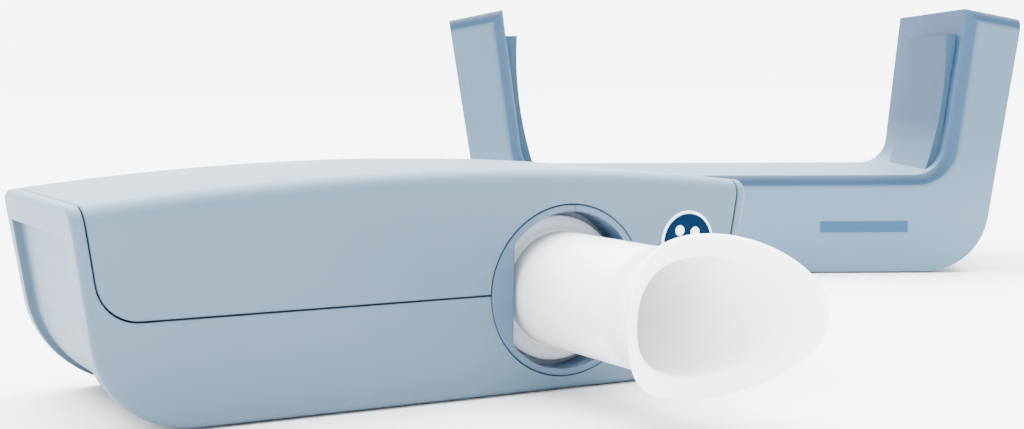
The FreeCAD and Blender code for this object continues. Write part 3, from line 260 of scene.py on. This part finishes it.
def cradle_finish():
    """The case plastic in front, lighter low down with painted light, and a deeper blue on the rounded inner
    edges, inner faces and arm tops: a liner colour with painted shade, with painted light on the liner low
    down and painted shade on the ribs' fronts.
    """
    recipe = Recipe("cradle_white")
    recipe.set(Specular_IOR_Level=0.15)
    normal = recipe.add("ShaderNodeNewGeometry").outputs["Normal"]
    place = recipe.place()
    upward = recipe.along(normal, (0, 0, 1))
    frontward = recipe.along(normal, tuple(-part for part in CRADLE_BACKWARDS))
    height = recipe.along(place, (0, 0, 1))

    slow = recipe.spread(recipe.noise(DRIFT_SCALE, 4), 0, 1)
    # Painted light: the front faces are lit and dimmer copies of the case blue, lighter low down.
    low_face_painted_light = recipe.blend(slow, tint(CASE_BLUE, 1.32), tint(CASE_BLUE, 1.39))
    high_face = recipe.blend(slow, tint(CASE_BLUE, 1.02), tint(CASE_BLUE, 1.08))
    shade = recipe.blend(recipe.spread(height, 0, 1, *FACE_PAINTED_LIGHT_HEIGHT), low_face_painted_light, high_face)

    # Inner faces and arm tops take a deeper blue: a liner colour darkened with painted shade, with painted
    # light low down, as thrown back by the bar.
    from_middle = recipe.combine("SUBTRACT", recipe.along(place, CRADLE_ACROSS), CRADLE_MIDDLE)
    sideways = recipe.along(normal, tuple(-part for part in CRADLE_ACROSS))
    towards_middle = recipe.combine("MULTIPLY", from_middle, sideways)
    inner_side = recipe.spread(towards_middle, 0, 1, *INNER_SIDE)
    arm_top_painted_shade = recipe.combine("MULTIPLY", recipe.spread(height, 0, 1, *ARM_TOP_HEIGHT),
                             recipe.spread(upward, 0, 1, *ARM_TOP_UPWARD))
    liner_and_painted_shade = recipe.blend(recipe.spread(height, 1, 0, *LINER_PAINTED_LIGHT_HEIGHT), LINER_BLUE_PAINTED_SHADE, LINER_BLUE_PAINTED_LIGHT)
    shade = recipe.blend(recipe.combine("MAXIMUM", inner_side, arm_top_painted_shade), shade, liner_and_painted_shade)

    # Painted shade on the fronts of the guide ribs, set back behind the arms' fronts.
    rib_depth = recipe.spread(recipe.along(place, CRADLE_BACKWARDS), 0, 1, *RIB_DEPTH)
    rib_front_shade = recipe.combine("MULTIPLY", rib_depth, recipe.spread(frontward, 0, 1, *RIB_FRONTWARD))
    shade = recipe.blend(rib_front_shade, shade, RIB_PAINTED_SHADE)

    # Painted shade on the rounded edges that face partly to the front, in part the liner's blue, darker where
    # they face up.
    edge = recipe.blend(recipe.spread(upward, 0, 1, *EDGE_UPWARD), EDGE_PAINTED_SHADE, EDGE_TOP_PAINTED_SHADE)
    on_shaded_edge = recipe.combine("MULTIPLY", recipe.spread(frontward, 0, 1, *EDGE_STARTS),
                             recipe.spread(frontward, 1, 0, *EDGE_ENDS))
    recipe.link(recipe.blend(on_shaded_edge, shade, edge), recipe.shader.inputs["Base Color"])

    fine = recipe.noise(GRAIN_SCALE, 2)
    recipe.link(recipe.spread(fine, 0.62, 0.7), recipe.shader.inputs["Roughness"])
    recipe.bump(fine, GRAIN_STRENGTH, GRAIN_DEPTH)
    return recipe.material


CASE_LOOK = {"base": CASE_BLUE, "roughness": 0.5, "gloss": 0.25, "soft_edge": 0.0008}
PLASTICS_AND_METALS = {
    "cover_white": CASE_LOOK,
    "shell_white": CASE_LOOK,
    "ring_blue_grey": {"base": (0.036, 0.076, 0.136, 1.0), "roughness": 0.35, "soft_edge": 0.0006},
    "barrel_grey": {"base": colour(84, 96, 110), "roughness": 0.45},
    "seal_rubber": {"base": colour(32, 34, 37), "roughness": 0.7},
    "transducer_metal": {"base": colour(190, 192, 196), "roughness": 0.32, "metal": 1.0},
    "cap_plastic": {"base": colour(52, 56, 62), "roughness": 0.5},
    "lead_jacket": {"base": colour(40, 42, 46), "roughness": 0.55},
    "board_green": {"base": colour(28, 92, 60), "roughness": 0.35},
    "chip_black": {"base": colour(30, 31, 34), "roughness": 0.5},
    "shield_metal": {"base": colour(188, 190, 194), "roughness": 0.35, "metal": 1.0},
    "capacitor_metal": {"base": colour(196, 199, 204), "roughness": 0.3, "metal": 1.0},
    "header_white": {"base": colour(224, 220, 206), "roughness": 0.5},
    "socket_metal": {"base": colour(184, 187, 191), "roughness": 0.35, "metal": 1.0},
    "screw_steel": {"base": colour(178, 181, 186), "roughness": 0.3, "metal": 1.0},
    "pad_rubber": {"base": colour(66, 70, 76), "roughness": 0.8, "grain": 0.0001, "grain_scale": 1200},
    "sign_white": {"base": colour(236, 240, 244), "roughness": 0.35},
    "sign_blue": {"base": (0.0, 0.010, 0.034, 1.0), "roughness": 0.4, "gloss": 0.02},
    "mesh_white": {"base": colour(220, 223, 226), "roughness": 0.7, "grain": 0.0002, "grain_scale": 3000},
    "badge_grey_blue": {"base": (0.022, 0.070, 0.140, 1.0), "roughness": 0.4, "gloss": 0.15},
}
FINISHES = {name: plastic(name, **look) for name, look in PLASTICS_AND_METALS.items()}
FINISHES["tube_white"] = tube_finish()
FINISHES["cradle_white"] = cradle_finish()
SLOT_OF = {entry["node"]: entry["material_slot"] for entry in frame["record"]["subparts"]}


def dress_nodes():
    """Give every CAD node the finish of its slot."""
    for name, item in nodes.items():
        item.data.materials.clear()
        item.data.materials.append(FINISHES[SLOT_OF[name]])


# Meshes


def mesh_object(name, vertices, faces, smooth=True):
    mesh = bpy.data.meshes.new(name)
    mesh.from_pydata(vertices, [], faces)
    mesh.validate()
    build = bmesh.new()
    build.from_mesh(mesh)
    bmesh.ops.recalc_face_normals(build, faces=build.faces)
    build.to_mesh(mesh)
    build.free()
    for polygon in mesh.polygons:
        polygon.use_smooth = smooth
    item = bpy.data.objects.new(name, mesh)
    bpy.context.scene.collection.objects.link(item)
    return item


def ring_faces(rings, count, closed=True, first=0):
    """Quads between neighbouring rings of points, and from the last ring to the first where closed."""
    faces = []
    for ring in range(rings if closed else rings - 1):
        here = first + ring * count
        after = first + (ring + 1) % rings * count
        for step in range(count):
            following = (step + 1) % count
            faces.append((here + step, here + following, after + following, after + step))
    return faces


# The breathing tube, in metres. Its axis lies along Y, and its mouth points along -Y.
OUTLET = next(mount for mount in frame["record"]["mounts"] if mount["name"] == "airway_outlet")
TUBE_X = OUTLET["pos_m"][0]
TUBE_Z = OUTLET["pos_m"][2]
TUBE_BORE = OUTLET["dims"]["r_mm"] / 1000
TUBE_RADIUS = 0.015
TUBE_STRAIGHT = 0.0745
TUBE_END = 0.0331
TUBE_END_ROUND = 0.0004
STATIONS = (TUBE_END - TUBE_END_ROUND, 0.028, 0.018, 0.006, -0.006, -0.018, -0.03, -0.045, -0.06)
ROUND_STEPS = 144

# Its mouth: an oval that flares out of the tube, with a curve cut across it.
MOUTH_REACH = 0.0948
MOUTH_SADDLE = 0.0373
MOUTH_WIDTH = 0.0274
MOUTH_HEIGHT = 0.0192
MOUTH_RISE = 0.0009
MOUTH_LIP = 0.0056
MOUTH_POWER = 2.15
FLARE_CURVE = 1.6
FLARE_SHARES = (0.0, 0.08, 0.2, 0.34, 0.48, 0.62, 0.75, 0.86)
LEAST_SHARE_GAP = 0.02
RIM_CORNER = 0.00154
THROAT_CORNER = 0.0022
CORNER_STEPS = 6

# Its collar: round, with two flats and a soft neck.
COLLAR_BACK = -0.02665
COLLAR_THICK = 0.0025
COLLAR_RADIUS = 0.019
COLLAR_FLAT = 0.0153
COLLAR_NECK = 0.0022
COLLAR_EDGE = 0.0004
COLLAR_CORE = TUBE_RADIUS - 0.0006
ARC_STEPS = 32
FLAT_STEPS = 16

# Its two sound windows.
WINDOW_RADIUS = 0.006
WINDOW_SLANT = math.radians(30)
WINDOW_CUT = 0.012
WINDOW_STEPS = 48


def tube_point(radius, y, heading):
    """A point at some distance from the tube's axis."""
    return Vector((TUBE_X + radius * math.cos(heading), y, TUBE_Z + radius * math.sin(heading)))


def heading_of(point):
    return math.atan2(point.z - TUBE_Z, point.x - TUBE_X)


def saddle_depth(across):
    """How far forward the mouth's cut lies, at a distance across from the tube's axis."""
    return MOUTH_REACH + MOUTH_SADDLE - math.sqrt(MOUTH_SADDLE ** 2 - across ** 2)


def oval_point(turn, half_width, half_height):
    across, upward = math.cos(turn), math.sin(turn)
    return (half_width * math.copysign(abs(across) ** (2 / MOUTH_POWER), across),
            half_height * math.copysign(abs(upward) ** (2 / MOUTH_POWER), upward) + MOUTH_RISE)


def flare_line(turn, half_width, half_height, tube_round):
    """The line from the tube to one point of an oval rim, as a function of the share of the way."""
    x, z = oval_point(turn, half_width, half_height)
    heading = math.atan2(z, x)
    rim = math.hypot(x, z)
    depth = saddle_depth(x)

    def at(share):
        radius = tube_round + (rim - tube_round) * share ** FLARE_CURVE
        return tube_point(radius, -(TUBE_STRAIGHT + (depth - TUBE_STRAIGHT) * share), heading)

    return at


def share_before_end(line, distance):
    """The share of a flare line at which a distance is left to its end."""
    last_stretch = 0.2
    return 1 - distance / (line(1.0) - line(1.0 - last_stretch)).length * last_stretch


def soft_corner(first, corner, last):
    """Points of a soft corner, from first to last round the corner point."""
    points = []
    for step in range(CORNER_STEPS + 1):
        share = step / CORNER_STEPS
        points.append(first * (1 - share) ** 2 + corner * (2 * share * (1 - share)) + last * share ** 2)
    return points


def tube_column(turn):
    """Points along the outside from the inner end, over the rim, and back through the bore."""
    outside = flare_line(turn, MOUTH_WIDTH, MOUTH_HEIGHT, TUBE_RADIUS)
    inside = flare_line(turn, MOUTH_WIDTH - MOUTH_LIP, MOUTH_HEIGHT - MOUTH_LIP, TUBE_BORE)
    way_out = heading_of(outside(0))
    way_in = heading_of(inside(0))
    rim = outside(1.0)
    hole = inside(1.0)
    lip = (hole - rim).length
    rim_share = share_before_end(outside, RIM_CORNER)
    throat_share = share_before_end(inside, THROAT_CORNER)

    column = [tube_point(TUBE_RADIUS, y, way_out) for y in STATIONS]
    column += [outside(share) for share in FLARE_SHARES if share < rim_share - LEAST_SHARE_GAP]
    column += soft_corner(outside(rim_share), rim, rim.lerp(hole, RIM_CORNER / lip))
    middle = rim.lerp(hole, 0.5)
    column.append(Vector((middle.x, -saddle_depth(middle.x - TUBE_X), middle.z)))
    column += soft_corner(hole.lerp(rim, THROAT_CORNER / lip), hole, inside(throat_share))
    column += [inside(share) for share in reversed(FLARE_SHARES) if share < throat_share - LEAST_SHARE_GAP]
    column += [tube_point(TUBE_BORE, y, way_in) for y in reversed(STATIONS)]
    column.append(tube_point((TUBE_RADIUS + TUBE_BORE) / 2, TUBE_END, way_in))
    return column


def make_collar():
    """The collar, closed by a round sleeve inside the tube's wall."""
    limit = math.acos(COLLAR_FLAT / COLLAR_RADIUS)
    headings = []
    for low, high, steps in ((-limit, limit, FLAT_STEPS), (limit, math.pi - limit, ARC_STEPS),
                             (math.pi - limit, math.pi + limit, FLAT_STEPS),
                             (math.pi + limit, 2 * math.pi - limit, ARC_STEPS)):
        headings += [low + (high - low) * step / steps for step in range(steps)]
    front = COLLAR_BACK - COLLAR_THICK
    hidden_flat = COLLAR_FLAT - 2 * COLLAR_EDGE
    rings = ((COLLAR_BACK, COLLAR_CORE, hidden_flat),
             (COLLAR_BACK, COLLAR_RADIUS - COLLAR_EDGE, COLLAR_FLAT - COLLAR_EDGE),
             (COLLAR_BACK - COLLAR_EDGE, COLLAR_RADIUS, COLLAR_FLAT),
             (front + COLLAR_EDGE, COLLAR_RADIUS, COLLAR_FLAT),
             (front, COLLAR_RADIUS - COLLAR_EDGE, COLLAR_FLAT - COLLAR_EDGE),
             (front, TUBE_RADIUS + COLLAR_NECK, hidden_flat),
             (front - 0.35 * COLLAR_NECK, TUBE_RADIUS + 0.35 * COLLAR_NECK, hidden_flat),
             (front - COLLAR_NECK, COLLAR_CORE, hidden_flat))
    vertices = []
    for y, radius, flat in rings:
        for heading in headings:
            to_flat = flat / max(abs(math.cos(heading)), 1e-6)
            vertices.append(tube_point(min(radius, to_flat), y, heading))
    return mesh_object("tube_collar", vertices, ring_faces(len(rings), len(headings)))


def window_cutter(side):
    """A round bar across the tube's wall, where one of the two sound windows is."""
    way = Vector((math.cos(WINDOW_SLANT), math.sin(WINDOW_SLANT), 0)) * side
    turn = way.to_track_quat("Z", "Y").to_matrix().to_4x4()
    shift = Matrix.Translation(Vector((TUBE_X, 0, TUBE_Z)) + way * TUBE_RADIUS)
    build = bmesh.new()
    bmesh.ops.create_cone(build, cap_ends=True, segments=WINDOW_STEPS, radius1=WINDOW_RADIUS,
                          radius2=WINDOW_RADIUS, depth=WINDOW_CUT)
    bmesh.ops.transform(build, verts=build.verts, matrix=shift @ turn)
    mesh = bpy.data.meshes.new("window_cutter")
    build.to_mesh(mesh)
    build.free()
    cutter = bpy.data.objects.new("window_cutter", mesh)
    bpy.context.scene.collection.objects.link(cutter)
    return cutter


def cut_windows(tube):
    """Cut both sound windows into the tube's mesh."""
    cutters = [window_cutter(side) for side in (1, -1)]
    for cutter in cutters:
        modifier = tube.modifiers.new("window", "BOOLEAN")
        modifier.operation = "DIFFERENCE"
        modifier.object = cutter
    bpy.context.view_layer.update()
    shaped = bpy.data.meshes.new_from_object(tube.evaluated_get(bpy.context.evaluated_depsgraph_get()))
    tube.modifiers.clear()
    tube.data = shaped
    for cutter in cutters:
        bpy.data.objects.remove(cutter)


def make_breathing_tube():
    """The tube with its trumpet mouth and sound windows, and its collar, in place of the CAD's tube."""
    columns = [tube_column(2 * math.pi * step / ROUND_STEPS) for step in range(ROUND_STEPS)]
    vertices = [point for ring in zip(*columns, strict=True) for point in ring]
    tube = mesh_object("mouth_tube", vertices, ring_faces(len(columns[0]), ROUND_STEPS))
    cut_windows(tube)
    tube.modifiers.new("crisp", "WEIGHTED_NORMAL")
    collar = make_collar()
    for piece in (tube, collar):
        piece.data.materials.clear()
        piece.data.materials.append(FINISHES["tube_white"])
        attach(piece, "tube")
    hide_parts("breathing_tube")


# The marks on the round sign, from its middle. The sign leans back with the case's front.
SIGN_MIDDLE = Vector((0.0719, -0.0364, 0.0373))
SIGN_SLOPE = 0.0458
DOT_PLACES = ((-0.0027, 0.0030), (0.0022, 0.0024), (-0.0002, -0.0022))
DOT_RADIUS = 0.0014
DOT_RINGS = ((0.0, DOT_RADIUS), (0.00005, DOT_RADIUS), (0.00009, 0.94 * DOT_RADIUS))
DOT_STEPS = 40


def make_sign_mark():
    """Plain white dots on the blue sign, in place of its pictogram."""
    upright = Vector((0, -SIGN_SLOPE, 1)).normalized()
    across = Vector((1, 0, 0))
    outwards = across.cross(upright)
    vertices = []
    faces = []
    for x, z in DOT_PLACES:
        start = len(vertices)
        for rise, radius in DOT_RINGS:
            for step in range(DOT_STEPS):
                turn = 2 * math.pi * step / DOT_STEPS
                vertices.append(SIGN_MIDDLE + across * (x + radius * math.cos(turn))
                                + upright * (z + radius * math.sin(turn)) + outwards * rise)
        faces += ring_faces(len(DOT_RINGS), DOT_STEPS, closed=False, first=start)
        faces.append(tuple(range(len(vertices) - DOT_STEPS, len(vertices))))
        faces.append(tuple(reversed(range(start, start + DOT_STEPS))))
    dots = mesh_object("sign_dots", vertices, faces, smooth=False)
    dots.data.materials.append(FINISHES["sign_white"])
    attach(dots, "handset")


SAME_POINT = 0.000002
FLAT_ENOUGH = math.radians(0.5)
SHARP_EDGE = math.radians(40)


def soften(name, width, clamp):
    """Take the sharpness off a CAD node's edges, where clamp is set only as far as its faces leave room."""
    item = nodes[name]
    weld = item.modifiers.new("joined", "WELD")
    weld.merge_threshold = SAME_POINT
    merge = item.modifiers.new("whole_faces", "DECIMATE")
    merge.decimate_type = "DISSOLVE"
    merge.angle_limit = FLAT_ENOUGH
    round_off = item.modifiers.new("soft_edges", "BEVEL")
    round_off.width = width
    round_off.segments = 3
    round_off.limit_method = "ANGLE"
    round_off.angle_limit = SHARP_EDGE
    round_off.use_clamp_overlap = clamp
    round_off.harden_normals = False


# Floor, room and lamps

FLOOR_HALF = 6.0
FLOOR_GREY = (0.8, 0.8, 0.8, 1.0)
ROOM_BEFORE = (2.1, 2.25, 2.4, 1)
ROOM_BEHIND = (7.0, 7.0, 7.0, 1)
ROOM_CHANGE = (0.1, 0.85)
SKY_STRENGTH = 20.0
SKY_SPREAD = math.radians(80)
SKY_AIM = (0.0, -0.25, -1.0)


def make_floor():
    """A pale floor."""
    mesh = bpy.data.meshes.new("floor")
    corners = [(-FLOOR_HALF, -FLOOR_HALF, 0), (FLOOR_HALF, -FLOOR_HALF, 0),
               (FLOOR_HALF, FLOOR_HALF, 0), (-FLOOR_HALF, FLOOR_HALF, 0)]
    mesh.from_pydata(corners, [], [(0, 1, 2, 3)])
    floor = bpy.data.objects.new("floor", mesh)
    bpy.context.scene.collection.objects.link(floor)
    floor.data.materials.append(plastic("floor_paint", FLOOR_GREY, 0.9, grain=0.00002, drift=0.01))


def make_room():
    """A bright room behind the object, as seen in the photograph, and a dimmer, bluish one in front of it."""
    world = bpy.data.worlds.new("room")
    bpy.context.scene.world = world
    world.use_nodes = True
    tree = world.node_tree
    place = tree.nodes.new("ShaderNodeTexCoord")
    aim = tree.nodes.new("ShaderNodeVectorMath")
    aim.operation = "DOT_PRODUCT"
    aim.inputs[1].default_value = (math.sin(CAMERA_YAW), math.cos(CAMERA_YAW), 0.0)
    tree.links.new(place.outputs["Generated"], aim.inputs[0])
    ramp = tree.nodes.new("ShaderNodeMapRange")
    ramp.inputs["From Min"].default_value = ROOM_CHANGE[0]
    ramp.inputs["From Max"].default_value = ROOM_CHANGE[1]
    ramp.interpolation_type = "SMOOTHSTEP"
    tree.links.new(aim.outputs["Value"], ramp.inputs["Value"])
    mix = tree.nodes.new("ShaderNodeMix")
    mix.data_type = "RGBA"
    mix.inputs["A"].default_value = ROOM_BEFORE
    mix.inputs["B"].default_value = ROOM_BEHIND
    tree.links.new(ramp.outputs["Result"], mix.inputs["Factor"])
    tree.links.new(mix.outputs["Result"], tree.nodes["Background"].inputs["Color"])


def place_lamp(data, place, aim):
    """Put a lamp at a place, turned towards the point that it lights."""
    lamp = bpy.data.objects.new(data.name, data)
    bpy.context.scene.collection.objects.link(lamp)
    lamp.location = place
    lamp.rotation_euler = (Vector(aim) - Vector(place)).to_track_quat("-Z", "Y").to_euler()


def panel_lamp(name, place, aim, size, power):
    data = bpy.data.lights.new(name, "AREA")
    data.shape = "RECTANGLE"
    data.size, data.size_y = size
    data.energy = power
    place_lamp(data, place, aim)


def make_lamps():
    """Soft light from above, and a weak panel at each side."""
    sky = bpy.data.lights.new("sky_light", "SUN")
    sky.energy = SKY_STRENGTH
    sky.angle = SKY_SPREAD
    place_lamp(sky, (0, 0, 0), SKY_AIM)
    panel_lamp("left_light", (-0.55, 0.12, 0.25), (-0.09, 0, 0.04), (0.3, 0.4), 1.8)
    panel_lamp("right_light", (0.36, -0.50, 0.22), (0.06, -0.05, 0.03), (0.4, 0.4), 1.2)


make_camera()
dress_nodes()
make_breathing_tube()
make_sign_mark()
soften("front_bezel_ring", 0.0007, clamp=True)
soften("rear_bezel_ring", 0.0005, clamp=False)
soften("top_cover", 0.00035, clamp=False)
soften("bottom_shell", 0.0007, clamp=True)
make_floor()
make_room()
make_lamps()
